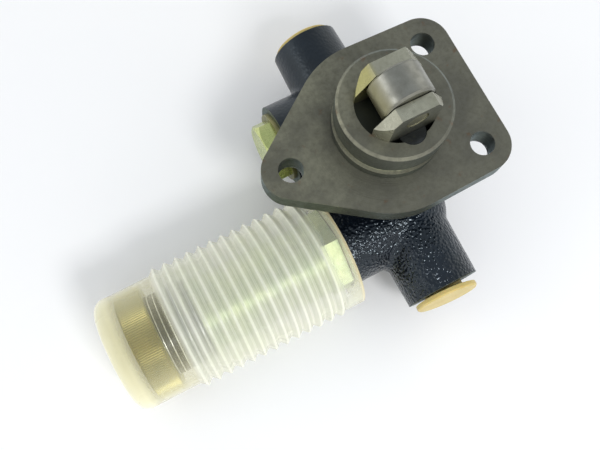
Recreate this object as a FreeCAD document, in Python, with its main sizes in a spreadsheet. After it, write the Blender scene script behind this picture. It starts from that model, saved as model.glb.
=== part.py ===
import FreeCAD, Part
import math
import os
import Sketcher
from FreeCAD import Placement, Rotation, Vector

# Plunger type fuel feed pump with roller tappet, hand primer and two check valves.
# Frame: the origin is on the tappet axis in the flange's mounting face, +Z points out of that face,
# -X points along the hand primer to its knob, and both ports lie along Y.

os.makedirs("parts", exist_ok=True)
doc = FreeCAD.newDocument("fuel_feed_pump")

# Driving dimensions, in millimetres
SIZES = {
    # mounting flange and spigot
    "flange_thick": 10.0,
    "hub_rad": 32.5,
    "lobe_rad": 10.4,
    "pair_dist": 27.0,
    "pair_half": 21.4,
    "single_dist": 38.0,
    "stud_hole_dia": 9.0,
    "spigot_dia": 40.0,
    "spigot_rise": 18.5,
    "spigot_bevel": 1.0,
    "ring_groove_low": 4.5,
    "ring_groove_wide": 4.0,
    "ring_groove_deep": 1.2,
    "cast_fillet": 3.0,
    "edge_round": 1.5,
    # housing barrel and its stepped bore
    "barrel_rad": 22.0,
    "plug_thread_long": 9.0,
    "tappet_bore_dia": 28.0,
    "bush_len": 8.0,
    "bush_dia": 12.0,
    "piston_bore_dia": 22.0,
    "plug_thread_dia": 26.0,
    # key in the tappet bore
    "key_offset": 11.0,
    "key_rad": 4.8,
    "key_foot": 4.0,
    "key_recess": 0.5,
    "key_flat_gap": 0.1,
    "key_gap": 0.04,
    # tappet, roller and pin
    "run_gap": 0.04,
    "tappet_top": 33.0,
    "tappet_skirt": 9.0,
    "tappet_cup_dia": 20.0,
    "tappet_cup_top": 8.0,
    "tappet_flat": 11.0,
    "cheek_crown": 6.6,
    "cheek_drop": 8.0,
    "cheek_reach": 11.4,
    "slot_wide": 12.2,
    "slot_floor": 17.2,
    "roller_dia": 19.0,
    "roller_wide": 11.6,
    "roller_at": 27.5,
    "roller_pin_dia": 8.0,
    "tappet_stroke": 8.0,
    "end_room": 1.0,
    "tappet_bevel": 0.6,
    "roller_bevel": 0.7,
    "pin_bevel": 0.5,
    "pin_inset": 0.3,
    # push rod, piston and plug
    "touch_gap": 0.05,
    "push_rod_dia": 7.0,
    "piston_long": 11.0,
    "piston_cup_dia": 14.0,
    "piston_cup_deep": 7.0,
    "piston_bevel": 0.8,
    "plug_floor": 1.5,
    "back_hex": 27.0,
    "back_hex_tall": 6.0,
    "washer_thick": 1.5,
    "washer_margin": 1.2,
    # ports
    "port_to_back": 17.0,
    "port_shift": 2.0,
    "port_root_inset": 0.5,
    "port_a_rad": 13.7,
    "port_b_rad": 14.3,
    "port_a_reach": 54.2,
    "port_b_reach": 58.6,
    "port_thread_dia": 16.0,
    "port_thread_deep": 16.0,
    "port_drill_dia": 9.0,
    "dust_plug_rad": 12.2,
    "dust_plug_lip": 1.9,
    "dust_plug_deep": 5.5,
    "dust_plug_taper": 1.1,
    "dust_plug_edge": 0.5,
    "plug_stand_out": 2.2,
    "plastic_wall": 1.2,
    # delivery valve boss and plug
    "boss_face": 30.5,
    "delivery_inset": 1.8,
    "delivery_boss_rad": 16.5,
    "delivery_bore_dia": 16.0,
    "delivery_hex": 22.0,
    "delivery_hex_tall": 6.2,
    "delivery_shank": 8.0,
    "delivery_cup": 4.0,
    # valves
    "valve_seat_at": 9.0,
    "valve_dia": 13.0,
    "valve_thick": 2.4,
    "valve_stem_dia": 4.0,
    "valve_stem_long": 5.0,
    "spring_hole_gap": 1.2,
    "valve_throat_dia": 8.0,
    "oilway_dia": 4.0,
    # hand primer
    "primer_outset": 4.0,
    "neck_rad": 15.8,
    "primer_thread_dia": 26.0,
    "primer_shank": 12.5,
    "spring_seat_deep": 3.0,
    "primer_hex": 30.0,
    "primer_hex_tall": 7.0,
    "primer_tube_rad": 14.2,
    "primer_bore_dia": 20.0,
    "primer_tube_end": 88.0,
    "primer_piston_at": 24.0,
    "primer_piston_long": 9.0,
    "rod_socket": 4.0,
    "ring_place": 3.0,
    "ring_wide": 3.0,
    "ring_deep": 2.0,
    "head_thread_rad": 15.6,
    "head_long": 18.0,
    "seal_wall": 2.2,
    "seal_floor": 4.0,
    "seal_thick": 3.0,
    "primer_rod_dia": 8.0,
    "primer_stroke": 28.0,
    "knob_rad": 20.2,
    "knob_overlap": 2.8,
    "knob_tall": 10.2,
    "knob_wall": 3.4,
    "knob_bevel": 0.9,
    "loose_gap": 0.3,
    # translucent boot
    "boot_wall": 1.0,
    "boot_collar_rad": 22.8,
    "boot_collar_long": 7.5,
    "boot_rib_rad": 24.0,
    "boot_valley_rad": 22.0,
    "boot_ribs": 13,
    "boot_cup_rad": 21.8,
    "boot_cup_tall": 23.1,
    "boot_cup_room": 8.0,
    "boot_cup_round": 4.5,
    # coil springs
    "tappet_wire": 2.0,
    "tappet_coil_dia": 16.4,
    "tappet_turns": 5.0,
    "piston_wire": 1.6,
    "piston_coil_dia": 11.4,
    "piston_turns": 6.0,
    "valve_wire": 0.8,
    "valve_coil_dia": 6.4,
    "valve_turns": 4.0,
}

sheet = doc.addObject("Spreadsheet::Sheet", "sizes")
for row, (alias, number) in enumerate(SIZES.items(), start=1):
    sheet.set("A%d" % row, alias)
    sheet.set("B%d" % row, str(number))
    sheet.setAlias("B%d" % row, alias)
doc.recompute()


class Size:
    """A length that holds its number and the sheet formula that gives it."""

    def __init__(self, number, formula):
        self.number = number
        self.formula = formula

    @staticmethod
    def of(thing):
        if isinstance(thing, Size):
            return thing
        return Size(float(thing), repr(float(thing)))

    def join(self, other, sign, number):
        return Size(number, "(%s %s %s)" % (self.formula, sign, other.formula))

    def __add__(self, other):
        other = Size.of(other)
        return self.join(other, "+", self.number + other.number)

    def __sub__(self, other):
        other = Size.of(other)
        return self.join(other, "-", self.number - other.number)

    def __mul__(self, other):
        other = Size.of(other)
        return self.join(other, "*", self.number * other.number)

    def __truediv__(self, other):
        other = Size.of(other)
        return self.join(other, "/", self.number / other.number)

    def __neg__(self):
        return Size.of(0) - self


class Sizes:
    """Every cell of the sheet as a Size, by its alias."""


for alias, number in SIZES.items():
    setattr(Sizes, alias, Size(number, "sizes." + alias))

D = Sizes

# Named places that several pieces share, worked out from the driving dimensions
spigot_rad = D.spigot_dia / 2
bore_rad = D.tappet_bore_dia / 2
piston_bore_rad = D.piston_bore_dia / 2
plug_thread_rad = D.plug_thread_dia / 2
key_head = D.spigot_rise - D.key_recess
tappet_foot = D.key_foot - D.tappet_skirt
tappet_bore_floor = D.tappet_stroke + D.end_room - tappet_foot
bush_foot = tappet_bore_floor + D.bush_len
piston_top = bush_foot + D.end_room / 2
piston_foot = piston_top + D.piston_long
piston_bore_foot = piston_foot + D.tappet_stroke + D.end_room / 2
tappet_rad = bore_rad - D.run_gap
back_face = piston_bore_foot + D.plug_thread_long
back_hex_face = back_face + D.washer_thick
port_plane = back_face - D.port_to_back
delivery_off = D.barrel_rad - D.delivery_inset
primer_off = D.barrel_rad + D.primer_outset
stem_head = D.valve_seat_at + D.valve_thick
hex_seat = D.boss_face + D.washer_thick
boot_seat = D.boss_face + D.loose_gap
primer_piston_end = D.primer_piston_at + D.primer_piston_long
primer_guide_foot = primer_piston_end + D.primer_stroke + D.end_room
head_end = D.primer_tube_end + D.head_long
knob_open = head_end - D.knob_overlap
knob_end = knob_open + D.knob_tall
boot_collar_end = D.boss_face + D.boot_collar_long
boot_cup_end = knob_end + D.boot_cup_room
spring_hole = D.valve_coil_dia / 2 + D.spring_hole_gap


# Sketch and feature helpers

def plane_of(body, role):
    """The body's own origin plane of that role."""
    for feature in body.Origin.OriginFeatures:
        if feature.Role == role:
            return feature
    raise RuntimeError("no plane " + role)


def new_body(name, base=(0, 0, 0), turn=None):
    """A body placed by sheet formulas, turned by a fixed rotation."""
    body = doc.addObject("PartDesign::Body", name)
    body.Label = name
    body.Placement = Placement(Vector(0, 0, 0), turn or Rotation())
    for letter, value in zip("xyz", base):
        body.setExpression("Placement.Base." + letter, Size.of(value).formula)
    return body


def new_sketch(body, name, role, offset=0):
    """A sketch on one of the body's origin planes, moved along its normal."""
    sketch = body.newObject("Sketcher::SketchObject", name)
    sketch.AttachmentSupport = [(plane_of(body, role), "")]
    sketch.MapMode = "FlatFace"
    sketch.setExpression("AttachmentOffset.Base.z", Size.of(offset).formula)
    return sketch


def pin_value(sketch, kind, where, value):
    """A driving constraint whose value follows the sheet."""
    value = Size.of(value)
    index = sketch.addConstraint(Sketcher.Constraint(kind, *where, value.number))
    sketch.setExpression("Constraints[%d]" % index, value.formula)


def pin_point(sketch, geometry, end, across, up):
    """Holds one point at its two coordinates."""
    across, up = Size.of(across), Size.of(up)
    if across.number == 0:
        sketch.addConstraint(Sketcher.Constraint("PointOnObject", geometry, end, -2))
    else:
        pin_value(sketch, "DistanceX", (-1, 1, geometry, end), across)
    if up.number == 0:
        sketch.addConstraint(Sketcher.Constraint("PointOnObject", geometry, end, -1))
    else:
        pin_value(sketch, "DistanceY", (-1, 1, geometry, end), up)


def draw_outline(sketch, points):
    """A closed outline of straight lines through the points."""
    points = [(Size.of(a), Size.of(b)) for a, b in points]
    spots = [Vector(a.number, b.number, 0) for a, b in points]
    first = sketch.GeometryCount
    for start, end in zip(spots, spots[1:] + spots[:1]):
        sketch.addGeometry(Part.LineSegment(start, end), False)
    for index in range(len(points)):
        following = (index + 1) % len(points)
        sketch.addConstraint(Sketcher.Constraint("Coincident", first + index, 2, first + following, 1))
    for index, (across, up) in enumerate(points):
        pin_point(sketch, first + index, 1, across, up)


def draw_circle(sketch, radius, across=0, up=0):
    """A circle of that radius round the point."""
    radius, across, up = Size.of(radius), Size.of(across), Size.of(up)
    circle = Part.Circle(Vector(across.number, up.number, 0), Vector(0, 0, 1), radius.number)
    geometry = sketch.addGeometry(circle, False)
    pin_value(sketch, "Radius", (geometry,), radius)
    pin_point(sketch, geometry, 3, across, up)


def grew(body, feature, before, sign):
    """Stops the build if the feature left the body's volume as it was."""
    doc.recompute()
    change = sign * (feature.Shape.Volume - before)
    if "Invalid" in feature.State or change <= 0:
        raise RuntimeError("%s in %s changed the volume by %.3f" % (feature.Name, body.Label, change))


def volume_of(body):
    doc.recompute()
    return body.Shape.Volume if body.Tip and not body.Shape.isNull() else 0.0


def pad(body, name, sketch, length, middle=False, flip=False):
    """Adds material along the sketch's normal."""
    before = volume_of(body)
    feature = body.newObject("PartDesign::Pad", name)
    feature.Profile = sketch
    feature.setExpression("Length", Size.of(length).formula)
    feature.Midplane = middle
    feature.Reversed = flip
    grew(body, feature, before, 1)
    return feature


def pocket(body, name, sketch, length, middle=False, flip=False):
    """Removes material against the sketch's normal, or along it where flip is set."""
    before = volume_of(body)
    feature = body.newObject("PartDesign::Pocket", name)
    feature.Profile = sketch
    feature.setExpression("Length", Size.of(length).formula)
    feature.Midplane = middle
    feature.Reversed = flip
    grew(body, feature, before, -1)
    return feature


def turn_profile(body, name, points, cut=False):
    """Turns an outline of (radius, height) points round the body's Z axis."""
    before = volume_of(body)
    sketch = new_sketch(body, name + "_profile", "XZ_Plane")
    draw_outline(sketch, points)
    kind = "PartDesign::Groove" if cut else "PartDesign::Revolution"
    feature = body.newObject(kind, name)
    feature.Profile = sketch
    feature.ReferenceAxis = (sketch, ["V_Axis"])
    feature.Angle = 360.0
    grew(body, feature, before, -1 if cut else 1)
    return feature


def round_hole(body, name, role, offset, radius, length, across=0, up=0, flip=False, middle=False):
    """One round pocket from a plane."""
    sketch = new_sketch(body, name + "_circle", role, offset)
    draw_circle(sketch, radius, across, up)
    return pocket(body, name, sketch, length, middle=middle, flip=flip)


def turned(name, points, base=(0, 0, 0), turn=None):
    """A whole sub-part made by turning one outline."""
    body = new_body(name, base, turn)
    turn_profile(body, name + "_turned", points)
    return body


def hexagon_points(across_flats):
    """The six corners of a hexagon with two corners on the sketch's X axis."""
    half = across_flats / 2
    corner = across_flats / math.sqrt(3)
    side = corner / 2
    return [(corner, 0), (side, half), (-side, half), (-corner, 0), (-side, -half), (side, -half)]


ALONG_PRIMER = Rotation(Vector(0, 1, 0), -90)
TO_PORT_A = Rotation(Vector(1, 0, 0), -90)
TO_PORT_B = Rotation(Vector(1, 0, 0), 90)
TO_BACK = Rotation(Vector(1, 0, 0), 180)
LOOSE_TILT = Rotation(Vector(0, 0, 1), -5) * Rotation(Vector(1, 0, 0), -5)

primer_axis = (0, -primer_off, -port_plane)
delivery_axis = (0, delivery_off, -port_plane)


# Pump housing

def tangent_spots(centre_a, radius_a, centre_b, radius_b):
    """Where the outer tangent on the left of the way from a to b touches each circle."""
    way = centre_b - centre_a
    lean = math.acos((radius_a - radius_b) / way.Length)
    heading = math.atan2(way.y, way.x) - lean
    normal = Vector(math.cos(heading), math.sin(heading), 0)
    return centre_a + normal * radius_a, centre_b + normal * radius_b


def draw_flange(sketch):
    """The flange's outline: three lobes and the hub, joined by tangent lines."""
    hub, lobe = D.hub_rad, D.lobe_rad
    stations = [
        ((D.pair_dist, D.pair_half), lobe),
        ((0, 0), hub),
        ((-D.single_dist, 0), lobe),
        ((0, 0), hub),
        ((D.pair_dist, -D.pair_half), lobe),
    ]
    spots = [Vector(Size.of(a).number, Size.of(b).number, 0) for (a, b), radius in stations]
    radii = [radius.number for place, radius in stations]
    count = len(stations)
    touches = []
    for index in range(count):
        after = (index + 1) % count
        touches.append(tangent_spots(spots[index], radii[index], spots[after], radii[after]))
    for index in range(count):
        start = touches[index - 1][1] - spots[index]
        end = touches[index][0] - spots[index]
        begin_angle = math.atan2(start.y, start.x)
        end_angle = math.atan2(end.y, end.x)
        circle = Part.Circle(spots[index], Vector(0, 0, 1), radii[index])
        sketch.addGeometry(Part.ArcOfCircle(circle, begin_angle, end_angle), False)
    for index in range(count):
        sketch.addGeometry(Part.LineSegment(*touches[index]), False)
    for index in range(count):
        after = (index + 1) % count
        sketch.addConstraint(Sketcher.Constraint("Tangent", index, 2, count + index, 1))
        sketch.addConstraint(Sketcher.Constraint("Tangent", count + index, 2, after, 1))
    for index, ((across, up), radius) in enumerate(stations):
        pin_value(sketch, "Radius", (index,), radius)
        pin_point(sketch, index, 3, across, up)


def edges_like(shape, wanted):
    """The names of the edges for which wanted(edge) is true."""
    return ["Edge%d" % number for number, edge in enumerate(shape.Edges, start=1) if wanted(edge)]


def round_edges(body, name, radius, wanted):
    """A fillet on the chosen edges of the body's last feature."""
    before = body.Tip
    feature = body.newObject("PartDesign::Fillet", name)
    feature.Base = (before, edges_like(before.Shape, wanted))
    feature.setExpression("Radius", Size.of(radius).formula)
    doc.recompute()
    if "Invalid" in feature.State or not feature.Shape.isValid():
        raise RuntimeError(name + " failed")


def edge_kind(edge):
    """The edge's curve type, or none for the point at a dome's pole."""
    try:
        return edge.Curve.TypeId
    except TypeError:
        return "none"


def is_cast_corner(edge):
    """True where one round boss runs into another, and where the barrel meets the flange."""
    box = edge.BoundBox
    level = box.ZMax - box.ZMin < 1e-4 and abs(box.ZMax + D.flange_thick.number) < 1e-4
    round_barrel = level and abs(box.XLength - 2 * D.barrel_rad.number) < 1e-3
    return "BSpline" in edge_kind(edge) or round_barrel


def is_outer_rim(edge):
    """True for the flange's lower outline."""
    box = edge.BoundBox
    if box.ZMax - box.ZMin > 1e-4 or "none" in edge_kind(edge):
        return False
    under_flange = abs(box.ZMax + D.flange_thick.number) < 1e-4
    middle = Vector(edge.CenterOfMass.x, edge.CenterOfMass.y, 0)
    return under_flange and middle.Length > D.barrel_rad.number + D.cast_fillet.number + 1


def domed_boss(body, name, radius, reach, across, up):
    """A round cast boss along -X with a domed end on its far side."""
    before = volume_of(body)
    sketch = new_sketch(body, name + "_profile", "XY_Plane", up)
    rim = across + radius
    middle = Vector(0, across.number, 0)
    shoulder = Vector(0, rim.number, 0)
    corner = Vector(-reach.number, rim.number, 0)
    face = Vector(-reach.number, across.number, 0)
    dome_tip = Vector(radius.number, across.number, 0)
    axis = sketch.addGeometry(Part.LineSegment(face, dome_tip), True)
    circle = Part.Circle(middle, Vector(0, 0, 1), radius.number)
    dome = sketch.addGeometry(Part.ArcOfCircle(circle, 0, math.pi / 2), False)
    side = sketch.addGeometry(Part.LineSegment(shoulder, corner), False)
    front = sketch.addGeometry(Part.LineSegment(corner, face), False)
    core = sketch.addGeometry(Part.LineSegment(face, dome_tip), False)
    for first, second in ((side, front), (front, core), (core, dome)):
        sketch.addConstraint(Sketcher.Constraint("Coincident", first, 2, second, 1))
    sketch.addConstraint(Sketcher.Constraint("Coincident", axis, 1, core, 1))
    sketch.addConstraint(Sketcher.Constraint("Coincident", axis, 2, core, 2))
    sketch.addConstraint(Sketcher.Constraint("Horizontal", core))
    sketch.addConstraint(Sketcher.Constraint("Vertical", front))
    sketch.addConstraint(Sketcher.Constraint("Tangent", dome, 2, side, 1))
    sketch.addConstraint(Sketcher.Constraint("Horizontal", side))
    sketch.addConstraint(Sketcher.Constraint("PointOnObject", dome, 3, core))
    pin_value(sketch, "Radius", (dome,), radius)
    pin_point(sketch, dome, 3, 0, across)
    pin_value(sketch, "DistanceX", (-1, 1, front, 1), -reach)
    feature = body.newObject("PartDesign::Revolution", name)
    feature.Profile = sketch
    feature.ReferenceAxis = (sketch, ["Axis0"])
    feature.Angle = 360.0
    grew(body, feature, before, 1)


def port_bosses(body):
    """Both port bosses in one turned form: drafted from a thick root in the barrel to each end."""
    before = volume_of(body)
    sketch = new_sketch(body, "port_bosses_profile", "XY_Plane", -port_plane)
    axis_at, root = -D.port_shift, D.barrel_rad / 3
    root_rad = D.neck_rad - D.port_root_inset
    draw_outline(sketch, [
        (axis_at, -D.port_b_reach), (axis_at + D.port_b_rad, -D.port_b_reach),
        (axis_at + root_rad, -root), (axis_at + root_rad, root),
        (axis_at + D.port_a_rad, D.port_a_reach), (axis_at, D.port_a_reach)])
    foot = Vector(axis_at.number, -D.port_b_reach.number, 0)
    head = Vector(axis_at.number, D.port_a_reach.number, 0)
    axis = sketch.addGeometry(Part.LineSegment(foot, head), True)
    sketch.addConstraint(Sketcher.Constraint("Coincident", axis, 1, 0, 1))
    sketch.addConstraint(Sketcher.Constraint("Coincident", axis, 2, 5, 1))
    feature = body.newObject("PartDesign::Revolution", "port_bosses")
    feature.Profile = sketch
    feature.ReferenceAxis = (sketch, ["Axis0"])
    feature.Angle = 360.0
    grew(body, feature, before, 1)


def build_housing():
    """The iron casting: flange, barrel, bosses and spigot, then every bore."""
    body = new_body("pump_housing")
    flange = new_sketch(body, "flange_outline", "XY_Plane")
    draw_flange(flange)
    pad(body, "flange", flange, D.flange_thick, flip=True)
    turn_profile(body, "barrel", [
        (0, 0), (D.barrel_rad, 0), (D.barrel_rad, -back_face), (0, -back_face)])
    port_bosses(body)
    domed_boss(body, "delivery_boss", D.delivery_boss_rad, D.boss_face, delivery_off, -port_plane)
    domed_boss(body, "primer_neck", D.neck_rad, D.boss_face, -primer_off, -port_plane)
    round_edges(body, "cast_corners", D.cast_fillet, is_cast_corner)
    round_edges(body, "outer_rims", D.edge_round, is_outer_rim)
    groove_top = D.ring_groove_low + D.ring_groove_wide
    groove_rad = spigot_rad - D.ring_groove_deep
    turn_profile(body, "spigot", [
        (0, -1), (spigot_rad, -1), (spigot_rad, D.ring_groove_low), (groove_rad, D.ring_groove_low),
        (groove_rad, groove_top), (spigot_rad, groove_top), (spigot_rad, D.spigot_rise - D.spigot_bevel),
        (spigot_rad - D.spigot_bevel, D.spigot_rise), (0, D.spigot_rise)])
    bore_housing(body)
    return body


def bore_housing(body):
    """The stepped bore, the key's slot, stud holes, ports, valve bores and the oilways between."""
    top = D.spigot_rise
    turn_profile(body, "stepped_bore", [
        (0, top), (bore_rad, top), (bore_rad, -tappet_bore_floor),
        (D.bush_dia / 2, -tappet_bore_floor), (D.bush_dia / 2, -bush_foot),
        (piston_bore_rad, -bush_foot), (piston_bore_rad, -piston_bore_foot),
        (plug_thread_rad, -piston_bore_foot), (plug_thread_rad, -back_face), (0, -back_face)], cut=True)
    round_hole(body, "key_slot", "XY_Plane", top, D.key_rad, top - D.key_foot, up=-D.key_offset)
    for name, across, up in (("pair_hole_a", D.pair_dist, D.pair_half),
                             ("pair_hole_b", D.pair_dist, -D.pair_half),
                             ("single_hole", -D.single_dist, 0)):
        round_hole(body, name, "XY_Plane", 0, D.stud_hole_dia / 2, D.flange_thick, across, up)
    for name, offset, flip in (("port_a", -D.port_a_reach, True), ("port_b", D.port_b_reach, False)):
        round_hole(body, name + "_thread", "XZ_Plane", offset, D.port_thread_dia / 2,
                   D.port_thread_deep, -D.port_shift, -port_plane, flip=flip)
    inlet_foot = D.port_b_reach - D.port_thread_deep
    round_hole(body, "inlet_drilling", "XZ_Plane", inlet_foot, D.port_drill_dia / 2,
               inlet_foot - primer_off, -D.port_shift, -port_plane)
    slanted_outlet(body)
    for name, off, bore in (("delivery", delivery_off, D.delivery_bore_dia / 2),
                            ("primer", -primer_off, D.primer_thread_dia / 2)):
        round_hole(body, name + "_bore", "YZ_Plane", -D.boss_face, bore, D.boss_face - D.valve_seat_at,
                   off, -port_plane, flip=True)
    round_hole(body, "suction_throat", "YZ_Plane", -D.valve_seat_at, D.valve_throat_dia / 2,
               D.valve_seat_at, -primer_off, -port_plane, flip=True)
    round_hole(body, "delivery_throat", "YZ_Plane", -D.valve_seat_at, D.valve_throat_dia / 2,
               D.valve_seat_at, delivery_off, -port_plane, flip=True)
    half = D.oilway_dia / 2
    round_hole(body, "suction_oilway", "XZ_Plane", primer_off, half, primer_off,
               -D.valve_seat_at - half, half - piston_bore_foot)
    round_hole(body, "delivery_oilway", "XZ_Plane", -delivery_off, half, delivery_off,
               -D.valve_seat_at / 2, -port_plane, flip=True)


def slanted_outlet(body):
    """The slanted drilling from port A's thread to the chamber behind the delivery valve."""
    before = volume_of(body)
    sketch = new_sketch(body, "outlet_circle", "XY_Plane", -port_plane)
    beside_stem = stem_head + D.valve_stem_long / 2
    beside_axis = delivery_off + D.delivery_bore_dia / 4
    thread_foot = D.port_a_reach - D.port_thread_deep
    chamber = Vector(-beside_stem.number, beside_axis.number, 0)
    start = Vector(-D.port_shift.number, thread_foot.number, 0)
    sketch.AttachmentOffset = Placement(start, Rotation(Vector(0, 0, 1), start - chamber))
    sketch.setExpression("AttachmentOffset.Base.x", (-D.port_shift).formula)
    sketch.setExpression("AttachmentOffset.Base.y", thread_foot.formula)
    draw_circle(sketch, D.oilway_dia / 2)
    pocket(body, "outlet_drilling", sketch, (start - chamber).Length)


# Key, tappet, roller and pin

def build_guide_key():
    """A half round key: its round side lies in the slot, its flat side faces the tappet."""
    body = new_body("guide_key", (0, -D.key_offset, 0))
    radius = D.key_rad - D.key_gap
    sketch = new_sketch(body, "section", "XY_Plane", D.key_foot)
    half = math.sqrt(radius.number ** 2 - D.key_flat_gap.number ** 2)
    lean = math.asin(D.key_flat_gap.number / radius.number)
    circle = Part.Circle(Vector(0, 0, 0), Vector(0, 0, 1), radius.number)
    sketch.addGeometry(Part.ArcOfCircle(circle, math.pi + lean, 2 * math.pi - lean), False)
    flat = -D.key_flat_gap.number
    sketch.addGeometry(Part.LineSegment(Vector(half, flat, 0), Vector(-half, flat, 0)), False)
    sketch.addConstraint(Sketcher.Constraint("Coincident", 0, 2, 1, 1))
    sketch.addConstraint(Sketcher.Constraint("Coincident", 1, 2, 0, 1))
    sketch.addConstraint(Sketcher.Constraint("Coincident", 0, 3, -1, 1))
    sketch.addConstraint(Sketcher.Constraint("Horizontal", 1))
    pin_value(sketch, "Radius", (0,), radius)
    pin_value(sketch, "DistanceY", (-1, 1, 1, 1), -D.key_flat_gap)
    pad(body, "key", sketch, key_head - D.key_foot)


def build_tappet():
    """A round tappet, slotted for the roller, flat on two sides, its cheeks bevelled at both ends."""
    body = new_body("tappet_body")
    cup_rad = D.tappet_cup_dia / 2
    edge = D.tappet_bevel
    turn_profile(body, "blank", [
        (0, D.tappet_cup_top), (cup_rad, D.tappet_cup_top), (cup_rad, tappet_foot),
        (tappet_rad - edge, tappet_foot), (tappet_rad, tappet_foot + edge),
        (tappet_rad, D.tappet_top), (0, D.tappet_top)])
    slot = new_sketch(body, "slot_outline", "YZ_Plane")
    side = D.slot_wide / 2
    above = D.tappet_top + 1
    draw_outline(slot, [(-side, D.slot_floor), (side, D.slot_floor), (side, above), (-side, above)])
    pocket(body, "slot", slot, D.tappet_bore_dia * 2, middle=True)
    for name, way in (("near", -1), ("far", 1)):
        flat = new_sketch(body, name + "_flat_outline", "YZ_Plane")
        inner, outer, foot = D.tappet_flat * way, D.tappet_bore_dia * way, D.key_foot - D.touch_gap
        draw_outline(flat, [(inner, foot), (outer, foot), (outer, above), (inner, above)])
        pocket(body, name + "_flat", flat, D.tappet_bore_dia * 2, middle=True)
        bevel = new_sketch(body, name + "_bevel_outline", "XZ_Plane")
        slope = D.cheek_drop / (D.cheek_reach - D.cheek_crown)
        far = D.tappet_bore_dia
        low = D.tappet_top - slope * (far - D.cheek_crown)
        draw_outline(bevel, [(D.cheek_crown * way, D.tappet_top), (far * way, low), (far * way, D.tappet_top)])
        pocket(body, name + "_bevel", bevel, D.tappet_bore_dia * 2, middle=True)
    round_hole(body, "pin_hole", "XZ_Plane", 0, D.roller_pin_dia / 2, D.tappet_bore_dia * 2,
               up=D.roller_at, middle=True)


def build_roller():
    """The roller and the pin that it turns on."""
    place = (0, 0, D.roller_at)
    half, rim, bevel = D.roller_wide / 2, D.roller_dia / 2, D.roller_bevel
    hole = D.roller_pin_dia / 2 + D.run_gap
    turned("tappet_roller", [
        (hole, -half), (rim - bevel, -half), (rim, bevel - half), (rim, half - bevel),
        (rim - bevel, half), (hole, half)], place, TO_PORT_A)
    reach, pin_rad, edge = D.tappet_flat - D.pin_inset, D.roller_pin_dia / 2, D.pin_bevel
    turned("roller_pin", [
        (0, -reach), (pin_rad - edge, -reach), (pin_rad, edge - reach), (pin_rad, reach - edge),
        (pin_rad - edge, reach), (0, reach)], place, TO_PORT_A)


# Push rod, bush, piston and back plug

def build_piston_train():
    rod_rad, edge = D.push_rod_dia / 2, D.tappet_bevel
    rod_top = D.tappet_cup_top - D.touch_gap
    rod_foot = -piston_top + D.touch_gap
    turned("push_rod", [
        (0, rod_foot), (rod_rad - edge, rod_foot), (rod_rad, rod_foot + edge), (rod_rad, rod_top - edge),
        (rod_rad - edge, rod_top), (0, rod_top)])
    turned("rod_bushing", [
        (rod_rad + D.run_gap, -bush_foot), (D.bush_dia / 2, -bush_foot),
        (D.bush_dia / 2, -tappet_bore_floor), (rod_rad + D.run_gap, -tappet_bore_floor)])
    rim, cup = piston_bore_rad - D.run_gap, D.piston_cup_dia / 2
    foot, bevel = -piston_foot, D.piston_bevel
    turned("piston", [
        (0, -piston_top), (rim - bevel, -piston_top), (rim, -piston_top - bevel), (rim, foot + bevel / 2),
        (rim - bevel / 2, foot), (cup, foot), (cup, foot + D.piston_cup_deep), (0, foot + D.piston_cup_deep)])


def hex_plug(name, base, turn, across_flats, tall, shank_rad, shank, cup_rad, cup_deep, lean=0):
    """A hexagon plug: head from its seat to +Z, threaded shank to -Z with a cup for the spring."""
    body = new_body(name, base, turn)
    head = new_sketch(body, "hexagon", "XY_Plane")
    head.AttachmentOffset = Placement(Vector(0, 0, 0), Rotation(Vector(0, 0, 1), lean))
    draw_outline(head, hexagon_points(across_flats))
    pad(body, "head", head, tall)
    corner = across_flats / math.sqrt(3)
    flat = across_flats / 2
    drop = (corner - flat) * 1.1
    turn_profile(body, "corner_bevel", [
        (flat - 0.4, tall), (corner + 1, tall), (corner + 1, tall - drop - 0.5)], cut=True)
    turn_profile(body, "shank", [
        (0, 0), (shank_rad - 1, 0), (shank_rad - 1, -1.6), (shank_rad, -2.4), (shank_rad, -shank + 0.8),
        (shank_rad - 0.8, -shank), (0, -shank)])
    turn_profile(body, "spring_cup", [
        (0, -shank), (cup_rad, -shank), (cup_rad, -shank + cup_deep), (0, -shank + cup_deep)], cut=True)
    return body


def washer(name, base, turn, inner, outer):
    """A flat sealing ring of the common washer thickness, from its seat to +Z."""
    thick = D.washer_thick
    turned(name, [(inner, 0), (outer, 0), (outer, thick), (inner, thick)], base, turn)


def build_back_plug():
    shank = back_hex_face - piston_bore_foot - D.loose_gap
    hex_plug("piston_plug", (0, 0, -back_hex_face), TO_BACK, D.back_hex, D.back_hex_tall,
             plug_thread_rad, shank, D.piston_cup_dia / 2, shank - D.plug_floor)
    washer("piston_plug_washer", (0, 0, -back_face), TO_BACK, plug_thread_rad,
           D.back_hex / math.sqrt(3) + D.washer_margin)


# Check valves

def build_delivery_plug():
    thread = D.delivery_bore_dia / 2
    hex_plug("delivery_plug", (-hex_seat, delivery_off, -port_plane), ALONG_PRIMER,
             D.delivery_hex, D.delivery_hex_tall, thread, D.delivery_shank + D.washer_thick,
             spring_hole, D.delivery_cup, lean=-25.5)
    washer("delivery_plug_washer", (-D.boss_face, delivery_off, -port_plane), ALONG_PRIMER,
           thread, D.delivery_hex / math.sqrt(3) + D.washer_margin)


def build_valve(name, axis):
    """A valve disc on its seat, with a stem that guides the spring."""
    rim, stem = D.valve_dia / 2, D.valve_stem_dia / 2
    turned(name, [
        (0, D.valve_seat_at), (rim, D.valve_seat_at), (rim, stem_head), (stem, stem_head),
        (stem, stem_head + D.valve_stem_long), (0, stem_head + D.valve_stem_long)], axis, ALONG_PRIMER)


# Hand primer

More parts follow.
